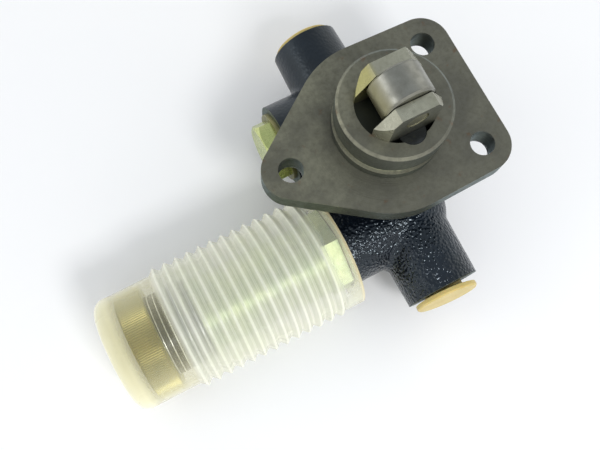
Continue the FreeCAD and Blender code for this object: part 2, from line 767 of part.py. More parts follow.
def build_primer_barrel():
    """The primer's barrel: threaded shank, hexagon foot and a long tube."""
    body = new_body("primer_barrel", primer_axis, ALONG_PRIMER)
    foot = new_sketch(body, "hexagon", "XY_Plane", hex_seat)
    draw_outline(foot, hexagon_points(D.primer_hex))
    pad(body, "hexagon_foot", foot, D.primer_hex_tall)
    shank_foot = D.boss_face - D.primer_shank
    thread, bore = D.primer_thread_dia / 2, D.primer_bore_dia / 2
    bore_floor = D.primer_piston_at - D.end_room
    seat = shank_foot + D.spring_seat_deep
    turn_profile(body, "tube", [
        (0, shank_foot), (thread, shank_foot), (thread, hex_seat), (D.primer_tube_rad, hex_seat + 0.5),
        (D.primer_tube_rad, D.primer_tube_end), (0, D.primer_tube_end)])
    turn_profile(body, "bore", [
        (0, bore_floor), (bore, bore_floor), (bore, D.primer_tube_end), (0, D.primer_tube_end)], cut=True)
    turn_profile(body, "spring_seat", [
        (0, shank_foot), (spring_hole, shank_foot), (spring_hole, seat), (D.oilway_dia / 2, seat),
        (D.oilway_dia / 2, bore_floor), (0, bore_floor)], cut=True)


def build_primer():
    thread = D.primer_thread_dia / 2
    washer("primer_barrel_washer", (-D.boss_face, -primer_off, -port_plane), ALONG_PRIMER,
           thread, thread + D.washer_margin * 2)
    build_primer_barrel()
    bore, rod = D.primer_bore_dia / 2, D.primer_rod_dia / 2
    seal_rad = rod + D.seal_wall
    tube_end = D.primer_tube_end
    pocket_at = tube_end + D.seal_floor
    pocket_end = pocket_at + D.seal_thick
    turned("primer_head", [
        (rod + D.run_gap, primer_guide_foot), (bore - D.run_gap, primer_guide_foot),
        (bore - D.run_gap, tube_end), (D.head_thread_rad, tube_end),
        (D.head_thread_rad, head_end - D.knob_bevel), (D.head_thread_rad - D.knob_bevel, head_end),
        (seal_rad, head_end), (seal_rad, pocket_at), (rod + D.run_gap, pocket_at)],
        primer_axis, ALONG_PRIMER)
    turned("rod_seal", [
        (rod + D.run_gap, pocket_at), (seal_rad, pocket_at), (seal_rad, pocket_end),
        (rod + D.run_gap, pocket_end)], primer_axis, ALONG_PRIMER)
    rim, start = bore - D.run_gap, D.primer_piston_at
    end = primer_piston_end
    socket = end - D.rod_socket
    groove_low, groove_rad = start + D.ring_place, rim - D.ring_deep
    groove_high = groove_low + D.ring_wide
    turned("primer_piston", [
        (0, start), (rim, start), (rim, groove_low), (groove_rad, groove_low), (groove_rad, groove_high),
        (rim, groove_high), (rim, end), (rod + D.run_gap, end), (rod + D.run_gap, socket), (0, socket)],
        primer_axis, ALONG_PRIMER)
    turned("primer_piston_ring", [
        (groove_rad, groove_low), (rim, groove_low), (rim, groove_high), (groove_rad, groove_high)],
        primer_axis, ALONG_PRIMER)
    rod_tip = knob_end - D.knob_wall
    rod_foot = socket + D.touch_gap
    turned("primer_rod", [(0, rod_foot), (rod, rod_foot), (rod, rod_tip), (0, rod_tip)],
           primer_axis, ALONG_PRIMER)
    inner, bevel = D.head_thread_rad + D.loose_gap, D.knob_bevel
    turned("primer_knob", [
        (0, rod_tip), (inner, rod_tip), (inner, knob_open), (D.knob_rad - bevel, knob_open),
        (D.knob_rad, knob_open + bevel), (D.knob_rad, knob_end - bevel), (D.knob_rad - bevel, knob_end),
        (0, knob_end)], primer_axis, ALONG_PRIMER)


def build_boot():
    """The translucent boot: collar, ribs as a zigzag wall, and a rounded end cup."""
    wall = D.boot_wall
    collar, crest, valley, cup = D.boot_collar_rad, D.boot_rib_rad, D.boot_valley_rad, D.boot_cup_rad
    mouth = D.primer_thread_dia / 2 + D.washer_margin * 2 + D.loose_gap
    pitch = (boot_cup_end - D.boot_cup_tall - boot_collar_end) / D.boot_ribs
    outer = [(mouth, boot_seat), (collar, boot_seat), (collar, boot_collar_end)]
    inner = [(mouth, boot_seat + wall), (collar - wall, boot_seat + wall), (collar - wall, boot_collar_end)]
    for rib in range(SIZES["boot_ribs"]):
        middle = boot_collar_end + pitch * (rib + 0.5)
        bottom = boot_collar_end + pitch * (rib + 1)
        outer += [(crest, middle), (valley, bottom)]
        inner += [(crest - wall, middle), (valley - wall, bottom)]
    bend = D.boot_cup_round
    steps = [(math.sin(angle), math.cos(angle)) for angle in (0, math.pi / 6, math.pi / 3, math.pi / 2)]
    for rise, spread in steps:
        outer.append((cup - bend + bend * spread, boot_cup_end - bend + bend * rise))
        tight = bend - wall
        inner.append((cup - bend + tight * spread, boot_cup_end - bend + tight * rise))
    outer.append((0, boot_cup_end))
    inner.append((0, boot_cup_end - wall))
    turned("primer_boot", outer + inner[::-1], primer_axis, ALONG_PRIMER)


# Dust plugs

def build_dust_plug(name, y, turn):
    """A yellow plastic plug: a disc and a hollow tapered shank for the port's thread."""
    lip, rim, wall, edge = D.dust_plug_lip, D.dust_plug_rad, D.plastic_wall, D.dust_plug_edge
    root = D.port_thread_dia / 2
    tip = root - D.dust_plug_taper
    turned(name, [
        (0, lip - wall), (tip - wall, lip - wall), (tip - wall, -D.dust_plug_deep),
        (tip, -D.dust_plug_deep), (root, 0), (rim, 0), (rim, lip - edge), (rim - edge, lip), (0, lip)],
        (-D.port_shift, y, -port_plane), turn)


# Coil springs

def coil_spring(name, base, turn, coil_dia, wire, tall, turns):
    """An open coil swept along a helix between two seats."""
    body = new_body(name, base, turn)
    sketch = new_sketch(body, "wire_section", "XZ_Plane")
    draw_circle(sketch, wire / 2, coil_dia / 2, wire / 2)
    coil = body.newObject("PartDesign::AdditiveHelix", "coil")
    coil.Profile = sketch
    coil.ReferenceAxis = (sketch, ["V_Axis"])
    coil.Mode = 1
    rise = tall - wire
    coil.setExpression("Pitch", (rise / turns).formula)
    coil.setExpression("Turns", turns.formula)
    doc.recompute()


def build_springs():
    gap = D.touch_gap
    coil_spring("tappet_spring", (0, 0, -tappet_bore_floor + gap), None, D.tappet_coil_dia,
                D.tappet_wire, D.tappet_cup_top + tappet_bore_floor - gap * 2, D.tappet_turns)
    plug_floor = back_hex_face - D.plug_floor
    piston_roof = piston_foot - D.piston_cup_deep
    coil_spring("piston_spring", (0, 0, -plug_floor + gap), None, D.piston_coil_dia, D.piston_wire,
                plug_floor - piston_roof - gap * 2, D.piston_turns)
    delivery_end = D.boss_face - D.delivery_shank + D.delivery_cup
    suction_end = D.boss_face - D.primer_shank + D.spring_seat_deep
    for name, axis, end in (("delivery_valve_spring", delivery_axis, delivery_end),
                            ("suction_valve_spring", primer_axis, suction_end)):
        x, y, z = axis
        coil_spring(name, (-stem_head - gap, y, z), ALONG_PRIMER, D.valve_coil_dia, D.valve_wire,
                    end - stem_head - gap * 2, D.valve_turns)


build_housing()
build_guide_key()
build_tappet()
build_roller()
build_piston_train()
build_back_plug()
build_delivery_plug()
build_valve("delivery_valve", delivery_axis)
build_valve("suction_valve", primer_axis)
build_primer()
build_boot()
build_dust_plug("outlet_dust_plug", D.port_a_reach, TO_PORT_A)
build_dust_plug("inlet_dust_plug", -D.port_b_reach - D.plug_stand_out, LOOSE_TILT * TO_PORT_B)
build_springs()
doc.recompute()

# Every object is checked before the files are written
for thing in doc.Objects:
    if "Invalid" in thing.State or "Error" in thing.State:
        raise RuntimeError("%s is %s" % (thing.Name, thing.State))

parts = [thing for thing in doc.Objects if thing.TypeId == "PartDesign::Body"]
for part in parts:
    if part.Shape.isNull() or not part.Shape.isValid() or part.Shape.Volume <= 0:
        raise RuntimeError(part.Label + " has no valid shape")
for part in parts:
    part.Shape.exportStep("parts/%s.step" % part.Label)
    print(part.Label, round(part.Shape.Volume, 1), len(part.Shape.Solids))
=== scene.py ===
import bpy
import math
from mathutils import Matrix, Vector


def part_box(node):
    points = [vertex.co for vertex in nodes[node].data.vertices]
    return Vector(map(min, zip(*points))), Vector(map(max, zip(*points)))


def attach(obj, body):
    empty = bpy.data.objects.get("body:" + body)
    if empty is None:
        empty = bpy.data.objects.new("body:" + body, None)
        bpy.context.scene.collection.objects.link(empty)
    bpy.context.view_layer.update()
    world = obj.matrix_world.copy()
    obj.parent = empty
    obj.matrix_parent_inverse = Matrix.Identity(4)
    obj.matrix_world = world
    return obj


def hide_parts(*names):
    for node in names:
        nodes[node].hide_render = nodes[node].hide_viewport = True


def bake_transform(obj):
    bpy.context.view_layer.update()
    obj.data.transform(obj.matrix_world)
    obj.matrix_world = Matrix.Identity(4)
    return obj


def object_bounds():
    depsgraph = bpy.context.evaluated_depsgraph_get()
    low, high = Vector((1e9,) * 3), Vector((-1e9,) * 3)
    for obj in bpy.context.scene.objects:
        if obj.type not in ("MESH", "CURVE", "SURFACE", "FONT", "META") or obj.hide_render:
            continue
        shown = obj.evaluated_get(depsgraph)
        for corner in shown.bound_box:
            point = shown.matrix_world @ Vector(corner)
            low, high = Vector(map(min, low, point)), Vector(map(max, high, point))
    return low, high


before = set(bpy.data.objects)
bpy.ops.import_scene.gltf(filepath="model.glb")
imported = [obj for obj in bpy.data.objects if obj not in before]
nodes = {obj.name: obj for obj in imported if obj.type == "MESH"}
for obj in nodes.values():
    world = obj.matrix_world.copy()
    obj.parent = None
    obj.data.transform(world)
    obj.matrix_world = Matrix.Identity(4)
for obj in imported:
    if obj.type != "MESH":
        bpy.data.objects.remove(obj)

# %% [markdown]
# # A fuel feed pump lying on its back
# The solids of this pump come from the construction model, one mesh for every real piece. This scene gives
# them their finishes and adds what repeats on them: the ribs of the boot, the knurl of the knob, the thread
# of the primer's head and the coil springs. Everything is in metres, and no solid is moved.

bare_low, bare_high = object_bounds()
MM = 0.001
print("bare model, mm:", [round(v / MM, 1) for v in bare_high - bare_low], "pieces:", len(nodes))

# %% [markdown]
# ## Where things are
# The tappet axis is Z and the flange's face is at height zero. The hand primer runs along -X on an axis of
# its own, and the two ports run along Y. These few numbers are all that the later steps need.

# %% Places
PRIMER_Y = -26.0 * MM
PORT_Z = -34.0 * MM
PORT_A_END = 54.2 * MM
PORT_B_END = 58.6 * MM
FLOOR_Z = bare_low.z
print("floor at", round(FLOOR_Z / MM, 2), "mm")

# %% [markdown]
# ## Arithmetic on fields
# A field is a number that changes over a surface. In a node tree each sum is one Math node, which gets long
# to write out. This small class turns ordinary Python sums into those nodes, for shaders and for geometry.


# %% Field arithmetic
class Field:
    def __init__(self, tree, socket):
        self.tree = tree
        self.socket = socket

    def math(self, operation, other=None, swap=False):
        node = self.tree.nodes.new("ShaderNodeMath")
        node.operation = operation
        order = [other, self] if swap else [self, other]
        for socket, value in zip(node.inputs, order):
            if isinstance(value, Field):
                self.tree.links.new(value.socket, socket)
            elif value is not None:
                socket.default_value = value
        return Field(self.tree, node.outputs[0])

    def __add__(self, other):
        return self.math("ADD", other)

    def __sub__(self, other):
        return self.math("SUBTRACT", other)

    def __rsub__(self, other):
        return self.math("SUBTRACT", other, swap=True)

    def __mul__(self, other):
        return self.math("MULTIPLY", other)

    def __truediv__(self, other):
        return self.math("DIVIDE", other)

    def above(self, edge):
        return self.math("GREATER_THAN", edge)

    def lowest(self, other):
        return self.math("MINIMUM", other)

    def highest(self, other):
        return self.math("MAXIMUM", other)

    def size(self):
        return self.math("ABSOLUTE")

    def power(self, exponent):
        return self.math("POWER", exponent)

    def sine(self):
        return self.math("SINE")

    def cosine(self):
        return self.math("COSINE")

    def fraction(self):
        return self.math("FRACT")

    def between(self, low, high):
        """0 below low, 1 above high, and a smooth rise in between."""
        node = self.tree.nodes.new("ShaderNodeMapRange")
        node.interpolation_type = "SMOOTHSTEP"
        self.tree.links.new(self.socket, node.inputs["Value"])
        node.inputs["From Min"].default_value = low
        node.inputs["From Max"].default_value = high
        return Field(self.tree, node.outputs["Result"])


print("field arithmetic ready")

# %% [markdown]
# ## Geometry trees for what repeats
# A boot's ribs, a knurl and a coil each follow a rule, so each is a geometry node tree with named sizes.
# A tree ends in Realize Instances and Set Material. The result is then copied to a plain mesh, because only
# plain meshes are stored with the part.


# %% Helpers that build and run a geometry tree
def new_geometry_tree(name, sizes):
    tree = bpy.data.node_groups.new(name, "GeometryNodeTree")
    tree.interface.new_socket("Geometry", in_out="OUTPUT", socket_type="NodeSocketGeometry")
    for label, kind in sizes.items():
        tree.interface.new_socket(label, in_out="INPUT", socket_type=kind)
    tree.nodes.new("NodeGroupInput").name = "sizes"
    return tree


def size_of(tree, label):
    return Field(tree, tree.nodes["sizes"].outputs[label])


def link(tree, source, target):
    tree.links.new(source.socket if isinstance(source, Field) else source, target)


def combine(tree, x, y, z):
    node = tree.nodes.new("ShaderNodeCombineXYZ")
    for socket, value in zip(node.inputs, (x, y, z)):
        if isinstance(value, Field):
            tree.links.new(value.socket, socket)
        else:
            socket.default_value = value
    return node.outputs[0]


def finish_tree(tree, geometry):
    """Realizes the instances, sets the material and puts the geometry out."""
    realize = tree.nodes.new("GeometryNodeRealizeInstances")
    paint = tree.nodes.new("GeometryNodeSetMaterial")
    out = tree.nodes.new("NodeGroupOutput")
    tree.links.new(geometry, realize.inputs[0])
    tree.links.new(realize.outputs[0], paint.inputs["Geometry"])
    tree.links.new(tree.nodes["sizes"].outputs["Material"], paint.inputs["Material"])
    tree.links.new(paint.outputs[0], out.inputs[0])


def grown(name, tree, values):
    """A plain mesh object made by the tree with these sizes."""
    seed = bpy.data.objects.new(name, bpy.data.meshes.new(name))
    bpy.context.scene.collection.objects.link(seed)
    modifier = seed.modifiers.new("tree", "NODES")
    modifier.node_group = tree
    for item in tree.interface.items_tree:
        if item.in_out == "INPUT" and item.name in values:
            modifier[item.identifier] = values[item.name]
    evaluated = seed.evaluated_get(bpy.context.evaluated_depsgraph_get())
    mesh = bpy.data.meshes.new_from_object(evaluated)
    seed.modifiers.remove(modifier)
    seed.data = mesh
    mesh.name = name
    for polygon in mesh.polygons:
        polygon.use_smooth = True
    print(name, len(mesh.polygons), "faces")
    return seed


# %% [markdown]
# ## Shared shader groups
# Several finishes use the same effects: a lumpy cast skin, turning and grinding marks, cloudy stains. Each is
# one group with named inputs, placed in a material with its own values. A group puts out only masks and
# heights, and the shader itself stays in the material.


# %% Shader group helpers
def new_group(name, inputs, outputs):
    tree = bpy.data.node_groups.new(name, "ShaderNodeTree")
    for label, start in inputs.items():
        kind = "NodeSocketVector" if label == "Place" else "NodeSocketFloat"
        socket = tree.interface.new_socket(label, in_out="INPUT", socket_type=kind)
        if label != "Place":
            socket.default_value = start
    for label in outputs:
        tree.interface.new_socket(label, in_out="OUTPUT", socket_type="NodeSocketFloat")
    tree.nodes.new("NodeGroupInput").name = "sizes"
    tree.nodes.new("NodeGroupOutput").name = "out"
    return tree


def noise(tree, place, scale, detail=2.0, rough=0.5, lumps=False):
    """A noise or cell texture's value at the place."""
    node = tree.nodes.new("ShaderNodeTexVoronoi" if lumps else "ShaderNodeTexNoise")
    link(tree, place, node.inputs["Vector"])
    if isinstance(scale, Field):
        link(tree, scale, node.inputs["Scale"])
    else:
        node.inputs["Scale"].default_value = scale
    if lumps:
        node.feature = "SMOOTH_F1"
        node.inputs["Smoothness"].default_value = 0.6
        return Field(tree, node.outputs["Distance"])
    node.inputs["Detail"].default_value = detail
    node.inputs["Roughness"].default_value = rough
    return Field(tree, node.outputs["Fac"])


# %% The four shared effects
cast_skin = new_group("cast skin", {"Place": 0, "Lump": 880.0, "Grain": 2600.0}, ["Height"])
spot = cast_skin.nodes["sizes"].outputs["Place"]
lumps = noise(cast_skin, spot, size_of(cast_skin, "Lump"), lumps=True)
waves = noise(cast_skin, spot, size_of(cast_skin, "Lump") * 0.35, 3.0)
grain = noise(cast_skin, spot, size_of(cast_skin, "Grain"), 3.0)
link(cast_skin, waves * 0.5 - lumps * 0.8 + grain * 0.07, cast_skin.nodes["out"].inputs["Height"])

turned_marks = new_group("turning marks", {"Place": 0, "Fine": 2600.0}, ["Height"])
spot = turned_marks.nodes["sizes"].outputs["Place"]
parts = turned_marks.nodes.new("ShaderNodeSeparateXYZ")
turned_marks.links.new(spot, parts.inputs[0])
flat_x, flat_y, tall_z = (Field(turned_marks, parts.outputs[index]) for index in range(3))
out_from_axis = (flat_x * flat_x + flat_y * flat_y).power(0.5)
ringed = combine(turned_marks, out_from_axis * size_of(turned_marks, "Fine"), flat_x * 12.0,
                 tall_z * size_of(turned_marks, "Fine"))
rings = noise(turned_marks, Field(turned_marks, ringed), 1.0, 3.0, 0.6)
link(turned_marks, rings, turned_marks.nodes["out"].inputs["Height"])

cloudy = new_group("cloudy stain", {"Place": 0, "Size": 60.0, "Low": 0.45, "High": 0.65}, ["Mask"])
spot = cloudy.nodes["sizes"].outputs["Place"]
cloud = noise(cloudy, spot, size_of(cloudy, "Size"), 6.0, 0.6)
rise = (cloud - size_of(cloudy, "Low")) / (size_of(cloudy, "High") - size_of(cloudy, "Low"))
link(cloudy, rise.highest(0.0).lowest(1.0), cloudy.nodes["out"].inputs["Mask"])

brushed = new_group("grinding marks", {"Place": 0, "Along": 40.0, "Across": 2500.0}, ["Height"])
spot = brushed.nodes["sizes"].outputs["Place"]
parts = brushed.nodes.new("ShaderNodeSeparateXYZ")
brushed.links.new(spot, parts.inputs[0])
stretched = combine(brushed, Field(brushed, parts.outputs[0]) * size_of(brushed, "Along"),
                    Field(brushed, parts.outputs[1]) * size_of(brushed, "Along"),
                    Field(brushed, parts.outputs[2]) * size_of(brushed, "Across"))
marks = noise(brushed, Field(brushed, stretched), 1.0, 4.0, 0.6)
link(brushed, marks, brushed.nodes["out"].inputs["Height"])
print("groups:", cast_skin.name, "/", turned_marks.name, "/", cloudy.name, "/", brushed.name)

# %% [markdown]
# ## Building a finish
# Every finish starts from one Principled shader with plain numbers on its sockets. Colours are written as
# the eye sees them, from 0 to 255, and turned into linear light. Coordinates are the object's own, so a
# pattern stays on its piece when it moves.


# %% Finish helpers
def seen(red, green, blue):
    """A colour as seen on a screen, in linear light."""
    linear = [((c / 255 + 0.055) / 1.055) ** 2.4 if c > 10 else c / 255 / 12.92 for c in (red, green, blue)]
    return (*linear, 1.0)


def new_finish(name, **plain):
    material = bpy.data.materials.new(name)
    material.use_nodes = True
    tree = material.node_tree
    shader = tree.nodes["Principled BSDF"]
    for label, value in plain.items():
        shader.inputs[label.replace("_", " ")].default_value = value
    place = tree.nodes.new("ShaderNodeTexCoord").outputs["Object"]
    return material, tree, shader, place


def effect(tree, group, place, **values):
    node = tree.nodes.new("ShaderNodeGroup")
    node.node_tree = group
    link(tree, place, node.inputs["Place"])
    for label, value in values.items():
        node.inputs[label].default_value = value
    return Field(tree, node.outputs[0])


def blend_colour(tree, mask, first, second):
    """first where the mask is 0 and second where it is 1. Each is a colour or a socket."""
    node = tree.nodes.new("ShaderNodeMix")
    node.data_type = "RGBA"
    link(tree, mask, node.inputs["Factor"])
    for label, colour in (("A", first), ("B", second)):
        socket = [s for s in node.inputs if s.name == label and s.type == "RGBA"][0]
        if isinstance(colour, tuple):
            socket.default_value = colour
        else:
            tree.links.new(colour, socket)
    return [s for s in node.outputs if s.type == "RGBA"][0]


def raise_surface(tree, shader, height, distance):
    bump = tree.nodes.new("ShaderNodeBump")
    bump.inputs["Distance"].default_value = distance
    bump.inputs["Strength"].default_value = 1.0
    link(tree, height, bump.inputs["Height"])
    tree.links.new(bump.outputs[0], shader.inputs["Normal"])


def coordinate(tree, place, axis):
    node = tree.nodes.new("ShaderNodeSeparateXYZ")
    tree.links.new(place, node.inputs[0])
    return Field(tree, node.outputs["XYZ".index(axis)])


def around_primer(tree, place):
    """Each point's distance from the hand primer's axis."""
    across = coordinate(tree, place, "Y") - PRIMER_Y
    above = coordinate(tree, place, "Z") - PORT_Z
    return (across * across + above * above).power(0.5)


def band(field, low, high, soft):
    """1 between low and high, falling to 0 outside over a soft edge."""
    return field.between(low - soft, low) - field.between(high, high + soft)


def wear_this(material, *names):
    for name in names:
        mesh = nodes[name].data
        mesh.materials.clear()
        mesh.materials.append(material)
    print(material.name, "on", ", ".join(names))


# %% [markdown]
# ## The casting
# The real casting is sprayed with thick glossy black paint over a rough sand cast skin, and only the flange,
# the spigot and the boss ends are machined bare afterwards. One material holds both finishes, and a mask
# made from the coordinates says which shows. The paint sparkles because its lumps are steep and glossy:
# each lump mirrors the lamp at one small spot. The upper port was cast smoother, so its lumps are low.

# %% Where the machining starts and stops, and where shade and highlights are painted
PAINT_LINE = -9.2 * MM
FACE_DEPTH = 0.2 * MM
VALVE_FACE, VALVE_FACE_TOP = 30.4 * MM, 10.5 * MM
FLANGE_SIDE = (0.4 * MM, 1.0 * MM)
SPIGOT_WALL, SPIGOT_WALL_REACH = (0.6 * MM, 17.2 * MM), 17.5 * MM
SPIGOT_EDGE = (17.7 * MM, 18.2 * MM)
GROOVE_EDGE, GROOVE_FLOOR = (4.3 * MM, 4.6 * MM), (4.9 * MM, 8.3 * MM)
FOOT_SHADOW = (0.2 * MM, 0.8 * MM)
SOFT_EDGE, HARD_EDGE = 0.2 * MM, 0.15 * MM
SIDE_SHADE_WAY, SIDE_SHADE_FROM_TO = (0.885, 0.463), (-32 * MM, 6 * MM)
LIT_SIDE, LIT_FROM_TO = (0.957, 0.29), (-8 * MM, 20 * MM)
SMOOTH_PORT = (-6 * MM, 16 * MM)
SKIN_RELIEF = 0.9 * MM
print("paint ends at", round(PAINT_LINE / MM, 1), "mm, under the flange")

# %% Painted and machined iron
iron, tree, shader, place = new_finish("painted casting", Specular_Tint=(0.8, 0.92, 1.0, 1.0))
x, y, z = (coordinate(tree, place, axis) for axis in "XYZ")
flange_skin = z.above(PAINT_LINE)
port_ends = y.above(PORT_A_END - FACE_DEPTH).highest((y * -1.0).above(PORT_B_END - FACE_DEPTH))
valve_faces = (x * -1.0).above(VALVE_FACE) * (0.0 - z).above(VALVE_FACE_TOP)
bare = flange_skin.highest(port_ends).highest(valve_faces)
stain = effect(tree, cloudy, place, Size=55.0, Low=0.4, High=0.62)
fine = effect(tree, cloudy, place, Size=520.0, Low=0.4, High=0.7)
rust = effect(tree, cloudy, place, Size=230.0, Low=0.62, High=0.72)
turning = effect(tree, turned_marks, place)
# Painted shade: the bare metal is made darker towards +X and -Y.
painted_side_shade = (x * SIDE_SHADE_WAY[0] - y * SIDE_SHADE_WAY[1]).between(*SIDE_SHADE_FROM_TO)
metal = blend_colour(tree, stain, seen(138, 137, 119), seen(108, 107, 95))
metal = blend_colour(tree, painted_side_shade * 0.55, metal, seen(102, 101, 94))
metal = blend_colour(tree, fine * 0.45, metal, seen(84, 84, 72))
metal = blend_colour(tree, rust * 0.5, metal, seen(112, 80, 54))
below_face = (0.0 - z).between(*FLANGE_SIDE)
metal = blend_colour(tree, below_face * 0.6, metal, seen(66, 72, 58))
# Painted highlights: bright lines on the groove's lower edge and the spigot's top edge, strongest towards -X
# and -Y.
lit_side = (x * -LIT_SIDE[0] - y * LIT_SIDE[1]).between(*LIT_FROM_TO)
painted_rim_highlights = (band(z, *GROOVE_EDGE, SOFT_EDGE) * (lit_side * 0.7 + 0.08)
        + band(z, *SPIGOT_EDGE, SOFT_EDGE) * (lit_side * 0.12 - 0.02))
# Painted shade in the groove and a painted contact shadow in a thin line at the spigot's foot.
groove_shade = band(z, *GROOVE_FLOOR, SOFT_EDGE).highest(band(z, *FOOT_SHADOW, HARD_EDGE) * 0.6)
metal = blend_colour(tree, groove_shade * 0.5, metal, seen(52, 54, 46))
# Painted shade on the spigot's outer wall.
outer_wall = (x * x + y * y).power(0.5).above(SPIGOT_WALL_REACH)
spigot_wall_shade = band(z, *SPIGOT_WALL, 0.3 * MM) * outer_wall
metal = blend_colour(tree, spigot_wall_shade * 0.5 * (1.0 - painted_rim_highlights), metal, seen(66, 68, 60))
metal = blend_colour(tree, painted_rim_highlights * (1.0 - fine * 0.6), metal, seen(206, 204, 178))
paint = blend_colour(tree, stain, seen(13, 18, 25), seen(20, 27, 36))
tree.links.new(blend_colour(tree, bare, paint, metal), shader.inputs["Base Color"])
link(tree, bare * 0.8, shader.inputs["Metallic"])
smooth_side = y.between(*SMOOTH_PORT)
gloss = smooth_side * 0.16 + 0.12
link(tree, gloss + (fine * 0.14 + turning * 0.12 + 0.34 - gloss) * bare, shader.inputs["Roughness"])
rough_side = 1.0 - smooth_side * 0.8
skin = effect(tree, cast_skin, place) * rough_side
raise_surface(tree, shader, skin * (1.0 - bare) * 0.62 + (turning * 0.045 + fine * 0.02) * bare, SKIN_RELIEF)
wear_this(iron, "pump_housing")

# %% [markdown]
# ## Ground and polished steel
# The pin, bush, push rod and pistons are ground steel. The tappet is ground too. Its well, its lower part and
# its two outer flats are painted dark as shade, and one bevel is tinted yellow. The roller is smoother and
# greyer, tinted yellow on its -X side, and painted darker at both ends as shade where it meets the cheeks.

# %% Tappet and other ground steel
steel, tree, shader, place = new_finish("ground steel", Metallic=0.95)
stain = effect(tree, cloudy, place, Size=160.0, Low=0.4, High=0.7)
fine = effect(tree, cloudy, place, Size=900.0, Low=0.45, High=0.75)
ground = blend_colour(tree, stain, seen(168, 165, 142), seen(140, 138, 118))
tree.links.new(blend_colour(tree, fine * 0.3, ground, seen(110, 108, 92)), shader.inputs["Base Color"])
link(tree, stain * 0.12 + 0.28, shader.inputs["Roughness"])
raise_surface(tree, shader, effect(tree, brushed, place, Along=900.0, Across=300.0), 0.02 * MM)
wear_this(steel, "roller_pin", "rod_bushing", "push_rod", "piston", "primer_rod")

YELLOW_BEVEL_X, YELLOW_BEVEL_Y = (5 * MM, 8 * MM), (1 * MM, 5 * MM)
WELL_TOP, SLOT_HALF, SHADE_LEVEL = (17.6 * MM, 26.0 * MM), (6.0 * MM, 6.3 * MM), (17.0 * MM, 19.0 * MM)
FLAT_AT = 10.9 * MM
cheeks, tree, shader, place = new_finish("shaded tappet", Metallic=0.95)
x, y, z = (coordinate(tree, place, axis) for axis in "XYZ")
stain = effect(tree, cloudy, place, Size=160.0, Low=0.4, High=0.7)
fine = effect(tree, cloudy, place, Size=900.0, Low=0.45, High=0.75)
ground = blend_colour(tree, stain, seen(188, 187, 168), seen(162, 161, 144))
# A yellow tint on one bevel on the +Y side.
yellow_bevel = (x * -1.0).between(*YELLOW_BEVEL_X) * y.between(*YELLOW_BEVEL_Y)
ground = blend_colour(tree, yellow_bevel * 0.8, ground, seen(176, 170, 104))
ground = blend_colour(tree, fine * 0.3, ground, seen(110, 108, 92))
# Painted shade: the well between the cheeks, the lower part and the two outer flats are made dark.
slot_shade = (1.0 - z.between(*WELL_TOP)) * (1.0 - y.size().between(*SLOT_HALF))
shaded_flat = y.size().above(FLAT_AT) * 0.75
painted_shade = slot_shade.highest(1.0 - z.between(*SHADE_LEVEL)).highest(shaded_flat)
tree.links.new(blend_colour(tree, painted_shade, ground, seen(52, 55, 50)), shader.inputs["Base Color"])
link(tree, stain * 0.12 + painted_shade * 0.2 + 0.26, shader.inputs["Roughness"])
raise_surface(tree, shader, effect(tree, brushed, place, Along=900.0, Across=300.0), 0.02 * MM)
wear_this(cheeks, "tappet_body")

# %% Roller
YELLOW_SIDE, ROLLER_END_SHADE = (6 * MM, 9 * MM), (4.6 * MM, 5.4 * MM)
polished, tree, shader, place = new_finish("polished roller", Metallic=0.95)
x, y = coordinate(tree, place, "X"), coordinate(tree, place, "Y")
stain = effect(tree, cloudy, place, Size=220.0, Low=0.4, High=0.7)
roller_tone = blend_colour(tree, stain, seen(150, 150, 142), seen(126, 126, 118))
# A yellow tint on the roller's -X side.
roller_tone = blend_colour(tree, (x * -1.0).between(*YELLOW_SIDE) * 0.5, roller_tone, seen(150, 142, 86))
# Painted shade at both ends, where the roller meets the cheeks.
tree.links.new(blend_colour(tree, y.size().between(*ROLLER_END_SHADE) * 0.3, roller_tone, seen(70, 68, 56)),
               shader.inputs["Base Color"])
link(tree, stain * 0.1 + 0.31, shader.inputs["Roughness"])
raise_surface(tree, shader, effect(tree, brushed, place, Along=200.0, Across=200.0), 0.01 * MM)
wear_this(polished, "tappet_roller")


# %% Dark steels
def dark_steel(name, pale, deep, rough, *names):
    material, tree, shader, place = new_finish(name, Metallic=0.9)
    stain = effect(tree, cloudy, place, Size=200.0, Low=0.4, High=0.7)
    tree.links.new(blend_colour(tree, stain, pale, deep), shader.inputs["Base Color"])
    link(tree, stain * 0.15 + rough, shader.inputs["Roughness"])
    raise_surface(tree, shader, effect(tree, brushed, place, Along=600.0, Across=600.0), 0.02 * MM)
    if names:
        wear_this(material, *names)
    return material


dark_steel("oiled key", seen(70, 72, 73), seen(48, 50, 51), 0.16, "guide_key")
dark_steel("dark head steel", seen(56, 58, 56), seen(36, 38, 38), 0.2, "primer_head")
crest_steel = dark_steel("thread crest", seen(230, 230, 218), seen(186, 187, 178), 0.26)

# %% [markdown]
# ## Zinc plating
# The barrel, the knob and the hexagon plugs are plated with zinc that was passivated yellow. Such a film is
# so thin that its colour drifts between straw, olive and green, which a cloudy mask gives.


# %% Plated pieces
def plated(name, straw, green, rough, grit, *names):
    material, tree, shader, place = new_finish(name, Metallic=0.9)
    drift = effect(tree, cloudy, place, Size=90.0, Low=0.38, High=0.64)
    speck = effect(tree, cloudy, place, Size=900.0, Low=0.5, High=0.75)
    colour = blend_colour(tree, drift, straw, green)
    tree.links.new(blend_colour(tree, speck * 0.25, colour, seen(120, 118, 80)), shader.inputs["Base Color"])
    link(tree, speck * 0.15 + rough, shader.inputs["Roughness"])
    raise_surface(tree, shader, effect(tree, brushed, place, Along=700.0, Across=700.0), grit * MM)
    if names:
        wear_this(material, *names)
    return material


